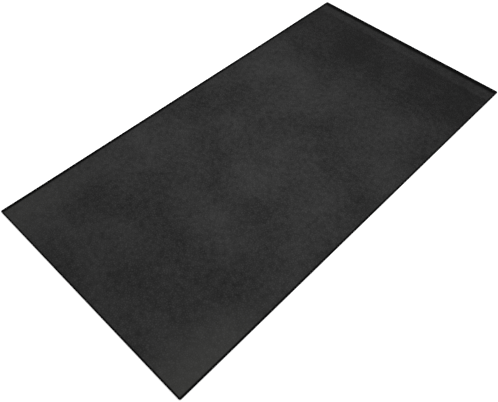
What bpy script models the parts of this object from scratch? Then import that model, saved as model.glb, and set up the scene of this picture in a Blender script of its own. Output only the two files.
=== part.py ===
"""A floor mat for a bicycle on an indoor trainer: one press-cut sheet of black PVC foam.

Metres, +Z up. The origin is on the floor under the middle of the sheet, and the length runs along +Y.
The sheet lies flat, apart from what it keeps from having been rolled up: its +Y end is turned up a little
from a soft crease, with a low swell behind the crease, and the two corners at its -Y end curl up a little.
"""

import math

import bmesh
import bpy

# The sheet as it is cut
WIDTH = 0.762
LENGTH = 1.524
THICKNESS = 0.004
CORNER_RADIUS = 0.005
EDGE_RADIUS = 0.0007  # the foam springs back round where the knife pressed it

# The +Y end, by the height of its underside. The crease crosses the sheet a little askew.
TIP_HEIGHT = 0.001
CREASE_PLACE = 0.063  # from the end to the crease, on the sheet's middle line
CREASE_SKEW = 0.008  # by which that is more at the +X side, and less at the -X side
CREASE_ROUNDING = 0.008  # the length over which one slope turns into the other
SWELL_HEIGHT = 0.0008
SWELL_LENGTH = 0.3
SWELL_SHAPE_PEAK = 4 / 27  # the most that t * (1 - t) squared reaches, a third of the way along

# The curled corners at the -Y end
CURL_HEIGHT = 0.0012
CURL_REACH = 0.2

# How finely the sheet is divided, so that it can bend
CURL_STEP = 0.05
SWELL_STEP = 0.025
FLAT_ROWS = 3
ROUNDING_ROWS = 4
CORNER_SEGMENTS = 5
EDGE_SEGMENTS = 2

SMOOTH_BELOW = math.radians(40)
ROUND_ABOVE = math.radians(60)
SAME_PLACE = 0.0001

# Charcoal black, with a little satin from the embossed skin
SKIN_COLOUR = (0.026, 0.026, 0.026, 1.0)
SKIN_ROUGHNESS = 0.6


def clear_scene():
    for old in list(bpy.data.objects):
        bpy.data.objects.remove(old)


def skin_material():
    """Embossed PVC skin, with no metal in it."""
    material = bpy.data.materials.new("pvc_foam_skin")
    material.use_nodes = True
    shader = material.node_tree.nodes["Principled BSDF"]
    shader.inputs["Base Color"].default_value = SKIN_COLOUR
    shader.inputs["Roughness"].default_value = SKIN_ROUGHNESS
    shader.inputs["Metallic"].default_value = 0.0
    return material


def smooth_max(a, b, reach):
    """The larger of the two, eased where they are closer to each other than the reach."""
    overlap = max(reach - abs(a - b), 0.0) / reach
    return max(a, b) + overlap**3 * reach / 6


def end_height(x, y):
    """The +Y end: straight down from the turned-up tip to the crease, then a low swell that runs out."""
    crease = CREASE_PLACE + CREASE_SKEW * x / (WIDTH / 2)
    from_tip = LENGTH / 2 - y
    tip = TIP_HEIGHT * (1 - from_tip / crease)
    share = min(max((from_tip - crease) / SWELL_LENGTH, 0.0), 1.0)
    swell = SWELL_HEIGHT * share * (1 - share) ** 2 / SWELL_SHAPE_PEAK
    slopes = TIP_HEIGHT / CREASE_PLACE + SWELL_HEIGHT / SWELL_SHAPE_PEAK / SWELL_LENGTH
    return smooth_max(tip, swell, slopes * CREASE_ROUNDING / 2)


def curl_height(x, y):
    """The two corners at the -Y end, which curl up more steeply towards their tips."""
    from_corner = math.hypot(WIDTH / 2 - abs(x), LENGTH / 2 + y)
    near = max(1 - from_corner / CURL_REACH, 0.0)
    return CURL_HEIGHT * near**2


def cut_outline():
    """The outline that the die cuts, as one flat face with round corners."""
    layer = bmesh.new()
    bmesh.ops.create_grid(layer, x_segments=1, y_segments=1, size=0.5)
    bmesh.ops.scale(layer, vec=(WIDTH, LENGTH, 1.0), verts=layer.verts)
    bmesh.ops.bevel(
        layer,
        geom=layer.verts[:],
        offset=CORNER_RADIUS,
        segments=CORNER_SEGMENTS,
        profile=0.5,
        affect="VERTICES",
    )
    return layer


def cut_along(layer, points, square_to):
    """Divides the faces along straight lines through these points, square to this direction."""
    for point in points:
        geometry = layer.verts[:] + layer.edges[:] + layer.faces[:]
        bmesh.ops.bisect_plane(layer, geom=geometry, dist=SAME_PLACE, plane_co=point, plane_no=square_to)


def divide(layer):
    """Cuts rows along the crease, its swell and the curled corners, and columns through those corners."""
    curl_steps = math.ceil(CURL_REACH / CURL_STEP)
    curl_places = [CURL_REACH * step / curl_steps for step in range(1, curl_steps + 1)]
    columns = [side * (WIDTH / 2 - place) for side in (-1, 1) for place in curl_places]
    cut_along(layer, [(column, 0.0, 0.0) for column in columns], (1.0, 0.0, 0.0))

    swell_end = LENGTH / 2 - CREASE_PLACE - CREASE_SKEW - SWELL_LENGTH
    curl_end = CURL_REACH - LENGTH / 2
    rows = [place - LENGTH / 2 for place in curl_places]
    rows += [curl_end + (swell_end - curl_end) * row / FLAT_ROWS for row in range(1, FLAT_ROWS)]
    cut_along(layer, [(0.0, row, 0.0) for row in rows], (0.0, 1.0, 0.0))

    swell_steps = math.ceil(SWELL_LENGTH / SWELL_STEP)
    from_crease = [SWELL_LENGTH * step / swell_steps for step in range(1, swell_steps + 1)]
    from_crease += [CREASE_ROUNDING * (row / ROUNDING_ROWS - 0.5) for row in range(ROUNDING_ROWS + 1)]
    along_crease = [(0.0, LENGTH / 2 - CREASE_PLACE - place, 0.0) for place in from_crease]
    cut_along(layer, along_crease, (CREASE_SKEW / (WIDTH / 2), 1.0, 0.0))


def underside_mesh():
    """The underside as an open layer that looks up, laid on the floor and lifted at its ends."""
    layer = cut_outline()
    divide(layer)
    for vertex in layer.verts:
        vertex.co.z = end_height(vertex.co.x, vertex.co.y) + curl_height(vertex.co.x, vertex.co.y)
    mesh = bpy.data.meshes.new("mat")
    layer.to_mesh(mesh)
    layer.free()
    mesh.shade_smooth()
    mesh.set_sharp_from_angle(angle=SMOOTH_BELOW)
    return mesh


def thicken(sheet):
    """Gives the sheet its thickness upwards, so that the underside stays where it is."""
    thickness = sheet.modifiers.new("thickness", "SOLIDIFY")
    thickness.thickness = THICKNESS
    thickness.offset = 1.0
    thickness.use_even_offset = True


def round_edges(sheet):
    """Rounds the top and bottom edges of the cut wall."""
    rounding = sheet.modifiers.new("edge_radius", "BEVEL")
    rounding.limit_method = "ANGLE"
    rounding.angle_limit = ROUND_ABOVE
    rounding.width = EDGE_RADIUS
    rounding.segments = EDGE_SEGMENTS


def make_mat(collection):
    sheet = bpy.data.objects.new("mat", underside_mesh())
    sheet.data.materials.append(skin_material())
    collection.objects.link(sheet)
    thicken(sheet)
    round_edges(sheet)


def main():
    clear_scene()
    collection = bpy.data.collections.new("bike_trainer_mat")
    bpy.context.scene.collection.children.link(collection)
    make_mat(collection)


main()
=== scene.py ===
"""Dresses a bike trainer mat: the embossed foam sheet as it lies, its cut edges, the stage and the camera.

Laid out as an add-on and run as a script. Metres, +Z up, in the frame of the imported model.
"""

import math

import bmesh
import bpy
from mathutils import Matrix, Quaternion, Vector


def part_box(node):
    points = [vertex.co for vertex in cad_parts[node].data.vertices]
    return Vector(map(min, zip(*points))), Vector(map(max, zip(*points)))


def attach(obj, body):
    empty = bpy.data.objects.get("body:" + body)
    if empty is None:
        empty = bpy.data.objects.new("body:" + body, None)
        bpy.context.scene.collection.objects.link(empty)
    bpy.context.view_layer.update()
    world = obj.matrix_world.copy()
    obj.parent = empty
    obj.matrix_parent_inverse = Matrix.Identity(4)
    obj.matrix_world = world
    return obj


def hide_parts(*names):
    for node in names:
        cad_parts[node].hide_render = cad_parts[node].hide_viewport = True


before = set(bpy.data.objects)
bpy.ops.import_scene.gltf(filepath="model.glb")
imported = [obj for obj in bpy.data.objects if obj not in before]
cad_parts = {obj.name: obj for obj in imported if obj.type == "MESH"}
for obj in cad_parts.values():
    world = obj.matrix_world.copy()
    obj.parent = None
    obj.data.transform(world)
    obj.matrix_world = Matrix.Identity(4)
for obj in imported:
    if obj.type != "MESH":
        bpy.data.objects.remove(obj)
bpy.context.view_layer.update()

bl_info = {
    "name": "Bike Trainer Mat",
    "version": (1, 0, 0),
    "blender": (4, 5, 0),
    "location": "View3D > Sidebar > Mat",
    "description": "Lays a black foam trainer mat with its embossed skin, and sets a white studio round it",
    "category": "Object",
}

PHOTO_WIDTH = 498
SENSOR_WIDTH = 36.0

CAD_NODE = "mat"
BODY = "root"
WHOLE_MILLIMETRES = 3  # the decimals of a metre to which the solid's box is rounded
node_low, node_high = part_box(CAD_NODE)


def linear(hex_colour):
    """An sRGB colour such as 2B2B2B as linear red, green, blue and alpha."""
    shares = [int(hex_colour[place:place + 2], 16) / 255 for place in (0, 2, 4)]
    colour = [share / 12.92 if share <= 0.04045 else ((share + 0.055) / 1.055) ** 2.4 for share in shares]
    return colour + [1.0]


class MatForm(bpy.types.PropertyGroup):
    """The sheet's sizes, as it is cut and as it lies"""

    width: bpy.props.FloatProperty(
        name="Width",
        description="Across the sheet",
        default=round(node_high.x - node_low.x, WHOLE_MILLIMETRES),
        unit="LENGTH",
    )
    length: bpy.props.FloatProperty(
        name="Length",
        description="Along the sheet",
        default=round(node_high.y - node_low.y, WHOLE_MILLIMETRES),
        unit="LENGTH",
    )
    thickness: bpy.props.FloatProperty(
        name="Thickness",
        description="Of the foam with its skins",
        default=0.004,
        unit="LENGTH",
    )
    corner_radius: bpy.props.FloatProperty(
        name="Corner radius",
        description="Of the cutting die's corners",
        default=0.005,
        unit="LENGTH",
    )
    edge_radius: bpy.props.FloatProperty(
        name="Edge radius",
        description="Where the skin rolls over into the cut wall",
        default=0.0007,
        unit="LENGTH",
    )
    tip_height: bpy.props.FloatProperty(
        name="Tip height",
        description="How far the far edge is turned up off the floor",
        default=0.001,
        unit="LENGTH",
    )
    crease_place: bpy.props.FloatProperty(
        name="Crease place",
        description="From the far edge to the crease behind the turned-up end, in the middle of the width",
        default=0.063,
        unit="LENGTH",
    )
    crease_skew: bpy.props.FloatProperty(
        name="Crease skew",
        description="By which that is more at the right side, and less at the left",
        default=0.008,
        unit="LENGTH",
    )
    crease_rounding: bpy.props.FloatProperty(
        name="Crease rounding",
        description="Length over which one slope turns into the other",
        default=0.008,
        unit="LENGTH",
    )
    swell_height: bpy.props.FloatProperty(
        name="Swell height",
        description="Of the low swell behind the crease",
        default=0.0008,
        unit="LENGTH",
    )
    swell_length: bpy.props.FloatProperty(
        name="Swell length",
        description="Of that swell, until the sheet lies flat",
        default=0.3,
        unit="LENGTH",
    )
    curl_height: bpy.props.FloatProperty(
        name="Curl height",
        description="How far the two near corners curl up off the floor",
        default=0.0012,
        unit="LENGTH",
    )
    curl_reach: bpy.props.FloatProperty(
        name="Curl reach",
        description="How far from the corner that curl begins",
        default=0.2,
        unit="LENGTH",
    )


class MatFinish(bpy.types.PropertyGroup):
    """The skin's and the cut foam's colours and grain"""

    dark_colour: bpy.props.FloatVectorProperty(
        name="Dark skin",
        description="The embossed skin where it is darkest",
        default=linear("202020"),
        size=4,
        subtype="COLOR",
    )
    pale_colour: bpy.props.FloatVectorProperty(
        name="Pale skin",
        description="The embossed skin where it is palest",
        default=linear("3C3C3C"),
        size=4,
        subtype="COLOR",
    )
    # Painted light: a paler, faintly warm colour laid on the two near corners, where more light falls on the
    # curl.
    corner_light_colour: bpy.props.FloatVectorProperty(
        name="Bloom",
        description="The faint, slightly warm bloom on the near corners",
        default=linear("62625F"),
        size=4,
        subtype="COLOR",
    )
    # A near-black band painted along the outline, which at the far end is painted shade along the edge.
    dark_outline_colour: bpy.props.FloatVectorProperty(
        name="Rim",
        description="Skin that the cutting die pressed down along the outline",
        default=linear("020202"),
        size=4,
        subtype="COLOR",
    )
    wall_colour: bpy.props.FloatVectorProperty(
        name="Cut wall",
        description="Foam where it is cut through",
        default=linear("101010"),
        size=4,
        subtype="COLOR",
    )
    # Painted shade: the bottoms of the opened cells are painted darker than the wall.
    pore_shade_colour: bpy.props.FloatVectorProperty(
        name="Pores",
        description="The bottoms of the cells that the cut opened",
        default=linear("060606"),
        size=4,
        subtype="COLOR",
    )
    skin_roughness: bpy.props.FloatProperty(
        name="Skin roughness",
        description="Of the embossed skin",
        default=0.6,
    )
    skin_gloss: bpy.props.FloatProperty(
        name="Skin gloss",
        description="Specular level of the embossed skin, low because the emboss shades most of its gloss",
        default=0.02,
    )
    # Random broad patches in the skin's tone, which also stand in for painted sheen and shade of the sheet's
    # faint waves.
    cloud_size: bpy.props.FloatProperty(
        name="Cloud size",
        description="Across one of the broad soft patches in the skin",
        default=0.2,
        unit="LENGTH",
    )
    cloud_and_sheen_contrast: bpy.props.FloatProperty(
        name="Cloud contrast",
        description="How far those patches go from dark to pale",
        default=1.25,
    )
    mottle_size: bpy.props.FloatProperty(
        name="Mottle size",
        description="Across one fleck of the finer mottle",
        default=0.015,
        unit="LENGTH",
    )
    mottle_contrast: bpy.props.FloatProperty(
        name="Mottle contrast",
        description="How far those flecks go from dark to pale",
        default=0.9,
    )
    pebble_size: bpy.props.FloatProperty(
        name="Pebble size",
        description="Across one pebble of the emboss",
        default=0.006,
        unit="LENGTH",
    )
    pebble_depth: bpy.props.FloatProperty(
        name="Pebble depth",
        description="Of the creases between the pebbles",
        default=0.0002,
        unit="LENGTH",
    )
    # Painted shade: the creases between the pebbles are painted darker and the pebble tops paler, as the
    # emboss would shade them.
    pebble_shade_contrast: bpy.props.FloatProperty(
        name="Pebble contrast",
        description="How much paler the pebbles are than the creases between them",
        default=0.52,
    )
    seed: bpy.props.IntProperty(
        name="Seed",
        description="Picks other clouds",
        default=11,
    )
    # Painted shade: the skin just inside the far end's crease is painted darker, standing in for the shade of
    # the swell behind it.
    crease_shade_tone: bpy.props.FloatProperty(
        name="Dull tone",
        description="How much darker the skin is just inside the crease",
        default=0.33,
    )
    crease_shade_length: bpy.props.FloatProperty(
        name="Dull length",
        description="From the crease to where that has faded",
        default=0.3,
        unit="LENGTH",
    )
    # The painted light on the near corners: how strong it is at each tip, and how far it reaches.
    corner_light_shares: bpy.props.FloatVectorProperty(
        name="Bloom shares",
        description="How much of the skin the bloom hides at the tips of the left and the right near corner",
        default=(0.16, 0.32),
        size=2,
    )
    corner_light_reach: bpy.props.FloatProperty(
        name="Bloom reach",
        description="How far from the corner it goes across the sheet",
        default=0.18,
        unit="LENGTH",
    )
    corner_light_stretch: bpy.props.FloatProperty(
        name="Bloom stretch",
        description="How many times farther it goes along the sides",
        default=2.2,
    )
    # A near-black band is painted along the outline, on each side as broad as the dark line that the
    # photograph has
    #     # there. At the far end, where it is widest, it is painted shade along the edge.
    dark_outline_widths: bpy.props.FloatVectorProperty(
        name="Rim widths",
        description="Of the pressed skin along the left side, the right side, the near end and the far end",
        default=(0.0145, 0.007, 0.006, 0.028),
        size=4,
        unit="LENGTH",
    )
    pore_size: bpy.props.FloatProperty(
        name="Pore size",
        description="Of the foam's cells on the cut wall",
        default=0.0005,
        unit="LENGTH",
    )


class MatStage(bpy.types.PropertyGroup):
    """The floor, the lights and the camera"""

    floor_size: bpy.props.FloatProperty(
        name="Floor size",
        description="Of the white floor, each way",
        default=14.0,
        unit="LENGTH",
    )
    floor_colour: bpy.props.FloatVectorProperty(
        name="Floor",
        description="Matt white card",
        default=linear("F4F4F4"),
        size=4,
        subtype="COLOR",
    )
    floor_glow: bpy.props.FloatProperty(
        name="Floor glow",
        description="What the card adds where it is seen, so that it shows white",
        default=0.65,
    )
    surround: bpy.props.FloatProperty(
        name="Surround",
        description="How much light the white surround throws on the mat",
        default=0.4,
    )
    lamp_place: bpy.props.FloatVectorProperty(
        name="Lamp place",
        description="Where the softbox hangs, over the middle of the mat",
        default=(-0.05, 0.0, 1.0),
        subtype="TRANSLATION",
    )
    lamp_size: bpy.props.FloatProperty(
        name="Lamp size",
        description="Of the square softbox",
        default=0.9,
        unit="LENGTH",
    )
    lamp_power: bpy.props.FloatProperty(
        name="Lamp power",
        description="Of the softbox, in watts",
        default=10.1,
    )
    camera_place: bpy.props.FloatVectorProperty(
        name="Camera place",
        description="Where the camera stands",
        default=(0.7205, -1.0069, 1.3030),
        subtype="TRANSLATION",
    )
    camera_heading: bpy.props.FloatProperty(
        name="Heading",
        description="How far the view is turned from the mat's length, to the left",
        default=math.radians(43.292),
        subtype="ANGLE",
    )
    camera_dip: bpy.props.FloatProperty(
        name="Dip",
        description="How far the view looks down",
        default=math.radians(52.518),
        subtype="ANGLE",
    )
    camera_roll: bpy.props.FloatProperty(
        name="Roll",
        description="How far the camera leans, anticlockwise",
        default=math.radians(1.841),
        subtype="ANGLE",
    )
    focal_pixels: bpy.props.FloatProperty(
        name="Focal length in pixels",
        description="The focal length, in pixels of a picture 498 wide",
        default=554.2,
    )
    camera_shift: bpy.props.FloatProperty(
        name="Shift",
        description="Sideways shift of the frame, as a share of its width",
        default=0.0572,
    )


def add_node(tree, kind, settings=None, inputs=None):
    """Adds a node with its settings, and with values or links for its inputs.

    A node that is given as a value stands for its first output.
    """
    node = tree.nodes.new(kind)
    for name, value in (settings or {}).items():
        setattr(node, name, value)
    for socket, value in (inputs or {}).items():
        if isinstance(value, bpy.types.Node):
            value = value.outputs[0]
        if isinstance(value, bpy.types.NodeSocket):
            tree.links.new(value, node.inputs[socket])
        else:
            node.inputs[socket].default_value = value
    return node


# The sheet's form

FORM_INPUTS = {
    "Width": "NodeSocketFloat",
    "Length": "NodeSocketFloat",
    "Thickness": "NodeSocketFloat",
    "Tip Height": "NodeSocketFloat",
    "Crease Place": "NodeSocketFloat",
    "Crease Skew": "NodeSocketFloat",
    "Crease Rounding": "NodeSocketFloat",
    "Swell Height": "NodeSocketFloat",
    "Swell Length": "NodeSocketFloat",
    "Curl Height": "NodeSocketFloat",
    "Curl Reach": "NodeSocketFloat",
    "Skin": "NodeSocketMaterial",
    "Cut Wall": "NodeSocketMaterial",
}
MERGE_DISTANCE = 0.00001  # joins the cut wall to the underside
SWELL_SHAPE_PEAK = 4 / 27  # the most that t * (1 - t) squared reaches, a third of the way along


def end_height(tree, given, half_width, half_length, x, y):
    """The far end: straight down from the turned-up tip to the crease, then a low swell that runs out."""
    across = add_node(tree, "ShaderNodeMath", {"operation": "DIVIDE"}, {0: x, 1: half_width})
    crease = add_node(
        tree,
        "ShaderNodeMath",
        {"operation": "MULTIPLY_ADD"},
        {0: across, 1: given["Crease Skew"], 2: given["Crease Place"]},
    )
    from_tip = add_node(tree, "ShaderNodeMath", {"operation": "SUBTRACT"}, {0: half_length, 1: y})
    tip = add_node(
        tree,
        "ShaderNodeMapRange",
        {"clamp": False},
        {"Value": from_tip, "From Max": crease, "To Min": given["Tip Height"], "To Max": 0.0},
    )
    swell_end = add_node(
        tree, "ShaderNodeMath", {"operation": "ADD"}, {0: crease, 1: given["Swell Length"]}
    )
    share = add_node(
        tree, "ShaderNodeMapRange", inputs={"Value": from_tip, "From Min": crease, "From Max": swell_end}
    )
    left = add_node(tree, "ShaderNodeMath", {"operation": "SUBTRACT"}, {0: 1.0, 1: share})
    squared = add_node(tree, "ShaderNodeMath", {"operation": "POWER"}, {0: left, 1: 2.0})
    bell = add_node(tree, "ShaderNodeMath", {"operation": "MULTIPLY"}, {0: share, 1: squared})
    swell = add_node(
        tree,
        "ShaderNodeMapRange",
        inputs={"Value": bell, "From Max": SWELL_SHAPE_PEAK, "To Max": given["Swell Height"]},
    )
    blend = crease_blend(tree, given)
    return add_node(tree, "ShaderNodeMath", {"operation": "SMOOTH_MAX"}, {0: tip, 1: swell, 2: blend})


def crease_blend(tree, given):
    """The height over which the two slopes blend, so that the rounding at the crease has its length."""
    tip_slope = add_node(
        tree, "ShaderNodeMath", {"operation": "DIVIDE"}, {0: given["Tip Height"], 1: given["Crease Place"]}
    )
    mean_slope = add_node(
        tree, "ShaderNodeMath", {"operation": "DIVIDE"}, {0: given["Swell Height"], 1: given["Swell Length"]}
    )
    slopes = add_node(
        tree,
        "ShaderNodeMath",
        {"operation": "MULTIPLY_ADD"},
        {0: mean_slope, 1: 1 / SWELL_SHAPE_PEAK, 2: tip_slope},
    )
    half = add_node(tree, "ShaderNodeMath", {"operation": "MULTIPLY"}, {0: given["Crease Rounding"], 1: 0.5})
    return add_node(tree, "ShaderNodeMath", {"operation": "MULTIPLY"}, {0: slopes, 1: half})


def curl_height(tree, given, half_width, half_length, x, y):
    """The two near corners, which curl up more steeply towards their tips."""
    mirrored_x = add_node(tree, "ShaderNodeMath", {"operation": "ABSOLUTE"}, {0: x})
    folded = add_node(tree, "ShaderNodeCombineXYZ", inputs={"X": mirrored_x, "Y": y})
    near_end = add_node(tree, "ShaderNodeMath", {"operation": "MULTIPLY"}, {0: half_length, 1: -1.0})
    corner = add_node(tree, "ShaderNodeCombineXYZ", inputs={"X": half_width, "Y": near_end})
    from_corner = add_node(tree, "ShaderNodeVectorMath", {"operation": "DISTANCE"}, {0: folded, 1: corner})
    near = add_node(
        tree,
        "ShaderNodeMapRange",
        inputs={
            "Value": from_corner.outputs["Value"],
            "From Max": given["Curl Reach"],
            "To Min": 1.0,
            "To Max": 0.0,
        },
    )
    steepened = add_node(tree, "ShaderNodeMath", {"operation": "POWER"}, {0: near, 1: 2.0})
    return add_node(
        tree, "ShaderNodeMath", {"operation": "MULTIPLY"}, {0: steepened, 1: given["Curl Height"]}
    )


def form_tree():
    """Lays the flat sheet: turns up its far end and curls its near corners, then gives it its thickness."""
    tree = bpy.data.node_groups.new("mat_form", "GeometryNodeTree")
    tree.interface.new_socket("Sheet", in_out="INPUT", socket_type="NodeSocketGeometry")
    for name, kind in FORM_INPUTS.items():
        tree.interface.new_socket(name, in_out="INPUT", socket_type=kind)
    tree.interface.new_socket("Sheet", in_out="OUTPUT", socket_type="NodeSocketGeometry")
    given = add_node(tree, "NodeGroupInput").outputs
    position = add_node(tree, "GeometryNodeInputPosition")
    place = add_node(tree, "ShaderNodeSeparateXYZ", inputs={0: position}).outputs
    half_width = add_node(tree, "ShaderNodeMath", {"operation": "DIVIDE"}, {0: given["Width"], 1: 2.0})
    half_length = add_node(tree, "ShaderNodeMath", {"operation": "DIVIDE"}, {0: given["Length"], 1: 2.0})
    far_end = end_height(tree, given, half_width, half_length, place["X"], place["Y"])
    corners = curl_height(tree, given, half_width, half_length, place["X"], place["Y"])
    height = add_node(tree, "ShaderNodeMath", {"operation": "ADD"}, {0: far_end, 1: corners})
    lift = add_node(tree, "ShaderNodeCombineXYZ", inputs={"Z": height})
    underside = add_node(tree, "GeometryNodeSetPosition", inputs={"Geometry": given["Sheet"], "Offset": lift})
    topside = add_node(
        tree,
        "GeometryNodeExtrudeMesh",
        {"mode": "FACES"},
        {"Mesh": underside, "Offset Scale": given["Thickness"], "Individual": False},
    )
    flipped = add_node(tree, "GeometryNodeFlipFaces", inputs={"Mesh": underside})
    both = add_node(tree, "GeometryNodeJoinGeometry", inputs={"Geometry": topside.outputs["Mesh"]})
    tree.links.new(flipped.outputs[0], both.inputs["Geometry"])
    closed = add_node(
        tree, "GeometryNodeMergeByDistance", inputs={"Geometry": both, "Distance": MERGE_DISTANCE}
    )
    real = add_node(tree, "GeometryNodeRealizeInstances", inputs={"Geometry": closed})
    skinned = add_node(
        tree, "GeometryNodeSetMaterial", inputs={"Geometry": real, "Material": given["Skin"]}
    )
    walled = add_node(
        tree,
        "GeometryNodeSetMaterial",
        inputs={"Geometry": skinned, "Selection": topside.outputs["Side"], "Material": given["Cut Wall"]},
    )
    add_node(tree, "NodeGroupOutput", inputs={"Sheet": walled})
    return tree


CORNER_SEGMENTS = 8
EDGE_SEGMENTS = 3
CELL = 0.012  # the mesh's step over most of the sheet
CREASE_CELL = 0.004  # and between its rows at the crease and out to the far edge
FINE_REACH = 2  # how many times as far in as the crease those finer rows begin
RIM_STRIP = 0.0015  # a narrow strip inside the outline keeps the edge's rounding out of the flat's shading
SAME_PLACE = 0.0001  # a cut that passes closer than this to a vertex goes through it
ROUND_ABOVE = math.radians(60)


def flat_sheet(form):
    """The sheet as it is cut, one layer with round corners, divided so that it can bend."""
    layer = bmesh.new()
    bmesh.ops.create_grid(layer, x_segments=1, y_segments=1, size=0.5)
    bmesh.ops.scale(layer, vec=(form.width, form.length, 1.0), verts=layer.verts)
    bmesh.ops.bevel(
        layer,
        geom=layer.verts[:],
        offset=form.corner_radius,
        segments=CORNER_SEGMENTS,
        profile=0.5,
        affect="VERTICES",
    )
    fine_start = form.length / 2 - FINE_REACH * form.crease_place
    columns = steps(RIM_STRIP - form.width / 2, form.width / 2 - RIM_STRIP, CELL)
    rows = steps(RIM_STRIP - form.length / 2, fine_start, CELL)
    rows += steps(fine_start, form.length / 2 - RIM_STRIP, CREASE_CELL)[1:]
    for axis, places in ((Vector((1, 0, 0)), columns), (Vector((0, 1, 0)), rows)):
        for place in places:
            geometry = layer.verts[:] + layer.edges[:] + layer.faces[:]
            bmesh.ops.bisect_plane(
                layer, geom=geometry, dist=SAME_PLACE, plane_co=axis * place, plane_no=axis
            )
    mesh = bpy.data.meshes.new("flat_sheet")
    layer.to_mesh(mesh)
    layer.free()
    return mesh


def steps(start, end, longest):
    """Places from start to end, both counted, in even steps no longer than this."""
    count = math.ceil((end - start) / longest)
    return [start + (end - start) * place / count for place in range(count + 1)]


def evaluated_mesh(piece, name):
    """The piece's mesh with its modifiers applied."""
    graph = bpy.context.evaluated_depsgraph_get()
    mesh = bpy.data.meshes.new_from_object(piece.evaluated_get(graph))
    mesh.name = name
    return mesh


def check_closed(mesh, name):
    """Raises an error if the mesh has an open edge."""
    shape = bmesh.new()
    shape.from_mesh(mesh)
    open_edges = [edge for edge in shape.edges if not edge.is_manifold]
    shape.free()
    if open_edges:
        raise RuntimeError(f"{name} has {len(open_edges)} open edges")


def lay_sheet(form, skin, wall):
    """The finished sheet as one plain mesh."""
    piece = bpy.data.objects.new("foam_sheet", flat_sheet(form))
    bpy.context.scene.collection.objects.link(piece)
    tree = form_tree()
    values = {
        "Width": form.width,
        "Length": form.length,
        "Thickness": form.thickness,
        "Tip Height": form.tip_height,
        "Crease Place": form.crease_place,
        "Crease Skew": form.crease_skew,
        "Crease Rounding": form.crease_rounding,
        "Swell Height": form.swell_height,
        "Swell Length": form.swell_length,
        "Curl Height": form.curl_height,
        "Curl Reach": form.curl_reach,
        "Skin": skin,
        "Cut Wall": wall,
    }
    laying = piece.modifiers.new("form", "NODES")
    laying.node_group = tree
    for socket in tree.interface.items_tree:
        if socket.in_out == "INPUT" and socket.name in values:
            laying[socket.identifier] = values[socket.name]
    rounding = piece.modifiers.new("edges", "BEVEL")
    rounding.limit_method = "ANGLE"
    rounding.angle_limit = ROUND_ABOVE
    rounding.width = form.edge_radius
    rounding.segments = EDGE_SEGMENTS
    mesh = evaluated_mesh(piece, "foam_sheet")
    piece.modifiers.clear()
    piece.data = mesh
    mesh.shade_smooth()
    check_closed(mesh, "foam_sheet")
    return piece


# The sheet's finish

CLOUD_DETAIL = 2.0  # how many times the noise repeats itself finer: in the clouds,
MOTTLE_DETAIL = 4.0  # in the mottle
WOBBLE_DETAIL = 2.0  # and where it bends the pebbles' outlines
WOBBLES_A_PEBBLE = 0.6  # how many waves of that last noise go into one pebble
CREASE_SHARE = 0.35  # of a pebble's half width, over which it rises out of the creases
DARK_OUTLINE_CORE = 0.5  # the share of the dark outline's width over which it is at its darkest
WALL_ROUGHNESS = 0.9
WALL_GLOSS = 0.05
PIT_SHARE = 0.3  # how deep the opened cells are, as a share of their size
MIX_UNDER, MIX_OVER, MIX_RESULT = 6, 7, 2  # the colour sockets of a Mix node, its two inputs and its output


def pebble_pattern(tree, place, size):
    """One on the pebbles of the leather grain, falling to nothing in the fine creases between them."""
    wobble = add_node(
        tree,
        "ShaderNodeTexNoise",
        inputs={"Vector": place, "Scale": WOBBLES_A_PEBBLE / size, "Detail": WOBBLE_DETAIL},
    )
    shifted = add_node(
        tree,
        "ShaderNodeVectorMath",
        {"operation": "MULTIPLY_ADD"},
        {0: wobble.outputs["Color"], 1: (size, size, size), 2: place},
    )
    cells = add_node(
        tree,
        "ShaderNodeTexVoronoi",
        {"feature": "DISTANCE_TO_EDGE"},
        {"Vector": shifted, "Scale": 1.0 / size},
    )
    return add_node(
        tree,
        "ShaderNodeMapRange",
        {"interpolation_type": "SMOOTHSTEP"},
        {"Value": cells, "From Max": CREASE_SHARE},
    )


def painted_crease_shade(tree, place, form, finish):
    """Painted shade at the far end: from the crease inwards the skin is painted darker, standing in for the
    swell's shade, and slowly recovers.
    """
    slant = form.crease_skew / (form.width / 2)
    along = add_node(
        tree, "ShaderNodeVectorMath", {"operation": "DOT_PRODUCT"}, {0: place, 1: (slant, 1.0, 0.0)}
    )
    inside = add_node(
        tree,
        "ShaderNodeMath",
        {"operation": "SUBTRACT"},
        {0: form.length / 2 - form.crease_place, 1: along.outputs["Value"]},
    )
    begun = add_node(
        tree,
        "ShaderNodeMapRange",
        {"interpolation_type": "SMOOTHSTEP"},
        {"Value": inside, "From Min": -form.crease_rounding, "From Max": form.crease_rounding},
    )
    # painted shade, darkest just inside the crease and fading inwards
    dull = add_node(
        tree,
        "ShaderNodeMapRange",
        {"interpolation_type": "SMOOTHSTEP"},
        {"Value": inside, "From Max": finish.crease_shade_length, "To Min": -finish.crease_shade_tone, "To Max": 0.0},
    )
    return add_node(tree, "ShaderNodeMath", {"operation": "MULTIPLY"}, {0: begun, 1: dull})


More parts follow.
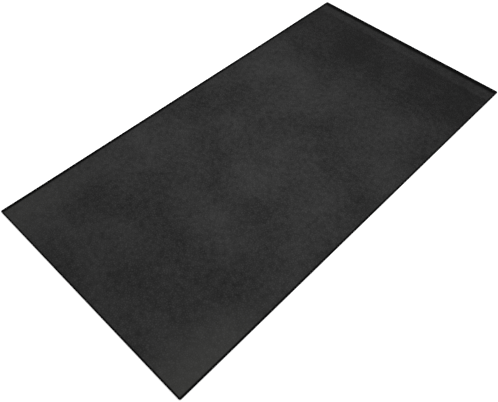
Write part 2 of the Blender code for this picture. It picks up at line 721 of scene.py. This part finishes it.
def painted_corner_light_share(tree, place, form, finish):
    """The share of the painted light at the tips of the two near corners, falling to nothing at its reach."""
    split = add_node(tree, "ShaderNodeSeparateXYZ", inputs={0: place}).outputs
    left_share, right_share = finish.corner_light_shares
    tip_share = add_node(
        tree,
        "ShaderNodeMapRange",
        inputs={
            "Value": split["X"],
            "From Min": -form.width / 2,
            "From Max": form.width / 2,
            "To Min": left_share,
            "To Max": right_share,
        },
    )
    mirrored_x = add_node(tree, "ShaderNodeMath", {"operation": "ABSOLUTE"}, {0: split["X"]})
    squeezed_y = add_node(
        tree, "ShaderNodeMath", {"operation": "DIVIDE"}, {0: split["Y"], 1: finish.corner_light_stretch}
    )
    folded = add_node(tree, "ShaderNodeCombineXYZ", inputs={"X": mirrored_x, "Y": squeezed_y})
    corner = (form.width / 2, -form.length / 2 / finish.corner_light_stretch, 0.0)
    from_corner = add_node(tree, "ShaderNodeVectorMath", {"operation": "DISTANCE"}, {0: folded, 1: corner})
    return add_node(
        tree,
        "ShaderNodeMapRange",
        {"interpolation_type": "SMOOTHSTEP"},
        {
            "Value": from_corner.outputs["Value"],
            "From Max": finish.corner_light_reach,
            "To Min": tip_share,
            "To Max": 0.0,
        },
    )


def dark_outline_share(tree, place, form, finish):
    """One on the outline, falling to nothing at the dark outline's width, which each side has for itself;
    painted shade at the far end.
    """
    split = add_node(tree, "ShaderNodeSeparateXYZ", inputs={0: place}).outputs
    left, right, near, far = finish.dark_outline_widths
    sides = (
        (split["X"], -form.width / 2, left),
        (split["X"], form.width / 2, right),
        (split["Y"], -form.length / 2, near),
        (split["Y"], form.length / 2, far),
    )
    share = 0.0
    for value, side, width in sides:
        inwards = -math.copysign(width, side)
        rim = add_node(
            tree,
            "ShaderNodeMapRange",
            {"interpolation_type": "SMOOTHSTEP"},
            {
                "Value": value,
                "From Min": side + DARK_OUTLINE_CORE * inwards,
                "From Max": side + inwards,
                "To Min": 1.0,
                "To Max": 0.0,
            },
        )
        share = add_node(tree, "ShaderNodeMath", {"operation": "MAXIMUM"}, {0: share, 1: rim})
    return share


def skin_tone(tree, place, pebbles, finish):
    """How pale the skin is, from nothing to one: its soft clouds with painted sheen and shade, its finer
    mottle, and its pebbles with painted crease shade.
    """
    clouds = add_node(
        tree,
        "ShaderNodeTexNoise",
        {"noise_dimensions": "4D"},
        {"Vector": place, "W": finish.seed, "Scale": 1.0 / finish.cloud_size, "Detail": CLOUD_DETAIL},
    )
    mottle = add_node(
        tree,
        "ShaderNodeTexNoise",
        inputs={"Vector": place, "Scale": 1.0 / finish.mottle_size, "Detail": MOTTLE_DETAIL},
    )
    patterns = (
        (clouds, finish.cloud_and_sheen_contrast),
        (mottle, finish.mottle_contrast),
        (pebbles, finish.pebble_shade_contrast),
    )
    # Each pattern goes from nothing to one. Half of it is taken off first, so that the tone stays mid-way.
    tone = 0.5 - 0.5 * sum(contrast for _, contrast in patterns)
    for pattern, contrast in patterns:
        tone = add_node(
            tree, "ShaderNodeMath", {"operation": "MULTIPLY_ADD"}, {0: pattern, 1: contrast, 2: tone}
        )
    return tone


def skin_material(form, finish):
    """Embossed PVC skin, rolled hot onto the foam and pressed with a leather grain.

    That makes it charcoal black and nearly matt, in soft clouds that also carry painted sheen and shade, with
    pebbles paler than the creases between them, whose shade is painted in. Shade is painted in behind the far
    end's crease, light on the two near corners, and a near-black band along the outline, painted shade at the
    far end.
    """
    material = bpy.data.materials.new("embossed_pvc_skin")
    material.use_nodes = True
    tree = material.node_tree
    shader = tree.nodes["Principled BSDF"]
    place = add_node(tree, "ShaderNodeTexCoord").outputs["Object"]
    # The real pebbles are about a millimetre across. They are drawn six times coarser, so that they show.
    pebbles = pebble_pattern(tree, place, finish.pebble_size)
    tone = add_node(
        tree,
        "ShaderNodeMath",
        {"operation": "ADD", "use_clamp": True},
        {0: skin_tone(tree, place, pebbles, finish), 1: painted_crease_shade(tree, place, form, finish)},
    )
    colour = tuple(finish.dark_colour)
    # The tone carries painted shade behind the crease and in the pebbles' creases; the next layer is painted
    # light on the near corners; the last is a near-black outline, painted shade at the far end.
    for share, cover in (
        (tone, finish.pale_colour),
        (painted_corner_light_share(tree, place, form, finish), finish.corner_light_colour),
        (dark_outline_share(tree, place, form, finish), finish.dark_outline_colour),
    ):
        layer = add_node(
            tree,
            "ShaderNodeMix",
            {"data_type": "RGBA"},
            {"Factor": share, MIX_UNDER: colour, MIX_OVER: tuple(cover)},
        )
        colour = layer.outputs[MIX_RESULT]
    bump = add_node(
        tree, "ShaderNodeBump", inputs={"Height": pebbles, "Distance": finish.pebble_depth, "Strength": 1.0}
    )
    tree.links.new(colour, shader.inputs["Base Color"])
    tree.links.new(bump.outputs[0], shader.inputs["Normal"])
    shader.inputs["Roughness"].default_value = finish.skin_roughness
    shader.inputs["Specular IOR Level"].default_value = finish.skin_gloss
    return material


def wall_material(finish):
    """Closed-cell PVC foam where the die cut it: dull black, pitted all over by the cells that it opened,
    with painted shade in their bottoms.
    """
    material = bpy.data.materials.new("die_cut_pvc_foam")
    material.use_nodes = True
    tree = material.node_tree
    shader = tree.nodes["Principled BSDF"]
    place = add_node(tree, "ShaderNodeTexCoord").outputs["Object"]
    pores = add_node(
        tree, "ShaderNodeTexVoronoi", inputs={"Vector": place, "Scale": 1.0 / finish.pore_size}
    )
    pits = add_node(
        tree,
        "ShaderNodeBump",
        inputs={"Height": pores, "Distance": PIT_SHARE * finish.pore_size, "Strength": 1.0},
    )
    shade = add_node(
        tree,
        "ShaderNodeMix",
        {"data_type": "RGBA"},
        {"Factor": pores, MIX_UNDER: tuple(finish.pore_shade_colour), MIX_OVER: tuple(finish.wall_colour)},
    )
    tree.links.new(shade.outputs[MIX_RESULT], shader.inputs["Base Color"])
    tree.links.new(pits.outputs[0], shader.inputs["Normal"])
    shader.inputs["Roughness"].default_value = WALL_ROUGHNESS
    shader.inputs["Specular IOR Level"].default_value = WALL_GLOSS
    return material


# The stage

WHITE = (1.0, 1.0, 1.0, 1.0)
CARD_ROUGHNESS = 0.9
FLOOR_GAP = 0.0003  # below the mat, so that its underside and the floor don't share a plane
CAMERA_RANGE = (0.05, 50.0)  # the nearest and the farthest that the camera sees


def white_where_seen(tree):
    """One for rays that show the background, to the camera or in gloss and glass."""
    ray = add_node(tree, "ShaderNodeLightPath").outputs
    seen = add_node(
        tree, "ShaderNodeMath", {"operation": "ADD"}, {0: ray["Is Camera Ray"], 1: ray["Is Glossy Ray"]}
    )
    return add_node(
        tree,
        "ShaderNodeMath",
        {"operation": "ADD", "use_clamp": True},
        {0: seen, 1: ray["Is Transmission Ray"]},
    )


def floor_material(stage):
    """Matt white card, with enough glow to the eye that it shows as the photograph's plain white."""
    material = bpy.data.materials.new("white_card")
    material.use_nodes = True
    tree = material.node_tree
    shader = tree.nodes["Principled BSDF"]
    shader.inputs["Base Color"].default_value = tuple(stage.floor_colour)
    shader.inputs["Roughness"].default_value = CARD_ROUGHNESS
    shader.inputs["Specular IOR Level"].default_value = 0.0
    shader.inputs["Emission Color"].default_value = WHITE
    seen = white_where_seen(tree)
    glow = add_node(tree, "ShaderNodeMath", {"operation": "MULTIPLY"}, {0: seen, 1: stage.floor_glow})
    tree.links.new(glow.outputs[0], shader.inputs["Emission Strength"])
    return material


def make_floor(stage):
    """A square of white card just under the mat."""
    mesh = bpy.data.meshes.new("floor")
    plane = bmesh.new()
    bmesh.ops.create_grid(plane, x_segments=1, y_segments=1, size=stage.floor_size / 2)
    bmesh.ops.translate(plane, vec=(0.0, 0.0, -FLOOR_GAP), verts=plane.verts)
    plane.to_mesh(mesh)
    plane.free()
    mesh.materials.append(floor_material(stage))
    floor = bpy.data.objects.new("floor", mesh)
    bpy.context.scene.collection.objects.link(floor)


def make_world(stage):
    """An even surround, white to the eye and in gloss, and weaker as light, so that the softbox leads."""
    world = bpy.data.worlds.new("white_surround")
    world.use_nodes = True
    tree = world.node_tree
    background = tree.nodes["Background"]
    background.inputs["Color"].default_value = WHITE
    seen = white_where_seen(tree)
    strength = add_node(
        tree, "ShaderNodeMapRange", inputs={"Value": seen, "To Min": stage.surround, "To Max": 1.0}
    )
    tree.links.new(strength.outputs[0], background.inputs["Strength"])
    bpy.context.scene.world = world


def make_lamp(stage):
    """A square softbox that faces the middle of the mat."""
    lamp = bpy.data.lights.new("softbox", "AREA")
    lamp.shape = "SQUARE"
    lamp.size = stage.lamp_size
    lamp.energy = stage.lamp_power
    holder = bpy.data.objects.new("softbox", lamp)
    holder.location = stage.lamp_place
    holder.rotation_mode = "QUATERNION"
    holder.rotation_quaternion = (-Vector(stage.lamp_place)).to_track_quat("-Z", "Y")
    bpy.context.scene.collection.objects.link(holder)


def make_camera(stage):
    """The camera at the photograph's viewing angle, turned by its heading, its dip and its roll."""
    camera = bpy.data.cameras.new("camera")
    camera.sensor_width = SENSOR_WIDTH
    camera.lens = stage.focal_pixels / PHOTO_WIDTH * SENSOR_WIDTH
    camera.shift_x = stage.camera_shift
    camera.clip_start, camera.clip_end = CAMERA_RANGE
    holder = bpy.data.objects.new("camera", camera)
    level = math.cos(stage.camera_dip)
    view = Vector(
        (
            -math.sin(stage.camera_heading) * level,
            math.cos(stage.camera_heading) * level,
            -math.sin(stage.camera_dip),
        )
    )
    holder.location = stage.camera_place
    holder.rotation_mode = "QUATERNION"
    holder.rotation_quaternion = view.to_track_quat("-Z", "Y") @ Quaternion((0, 0, 1), stage.camera_roll)
    bpy.context.scene.collection.objects.link(holder)
    bpy.context.scene.camera = holder


class MAT_OT_lay_sheet(bpy.types.Operator):
    """Cut the foam sheet, lay it with its crease and give it its skin"""

    bl_idname = "trainer_mat.lay_sheet"
    bl_label = "Lay the Sheet"

    def execute(self, context):
        form = context.scene.mat_form
        finish = context.scene.mat_finish
        piece = lay_sheet(form, skin_material(form, finish), wall_material(finish))
        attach(piece, BODY)
        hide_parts(CAD_NODE)
        return {"FINISHED"}


class MAT_OT_set_stage(bpy.types.Operator):
    """Put the white floor, the soft lights and the camera round the mat"""

    bl_idname = "trainer_mat.set_stage"
    bl_label = "Set the Stage"

    def execute(self, context):
        stage = context.scene.mat_stage
        context.scene.view_settings.view_transform = "Standard"
        make_floor(stage)
        make_world(stage)
        make_lamp(stage)
        make_camera(stage)
        return {"FINISHED"}


class MAT_PT_panel(bpy.types.Panel):
    """Lists the mat's steps and sizes"""

    bl_idname = "MAT_PT_panel"
    bl_label = "Trainer Mat"
    bl_space_type = "VIEW_3D"
    bl_region_type = "UI"
    bl_category = "Mat"

    def draw(self, context):
        layout = self.layout
        for step in STEPS:
            layout.operator(step.bl_idname)
        for group in (context.scene.mat_form, context.scene.mat_finish, context.scene.mat_stage):
            box = layout.box()
            for name in group.bl_rna.properties.keys():
                if name not in {"rna_type", "name"}:
                    box.prop(group, name)


STEPS = (MAT_OT_lay_sheet, MAT_OT_set_stage)
CLASSES = (MatForm, MatFinish, MatStage, *STEPS, MAT_PT_panel)


def register():
    for kind in CLASSES:
        bpy.utils.register_class(kind)
    bpy.types.Scene.mat_form = bpy.props.PointerProperty(type=MatForm)
    bpy.types.Scene.mat_finish = bpy.props.PointerProperty(type=MatFinish)
    bpy.types.Scene.mat_stage = bpy.props.PointerProperty(type=MatStage)


def unregister():
    del bpy.types.Scene.mat_stage
    del bpy.types.Scene.mat_finish
    del bpy.types.Scene.mat_form
    for kind in reversed(CLASSES):
        bpy.utils.unregister_class(kind)


def main():
    register()
    bpy.ops.trainer_mat.lay_sheet()
    bpy.ops.trainer_mat.set_stage()


if __name__ == "__main__":
    main()
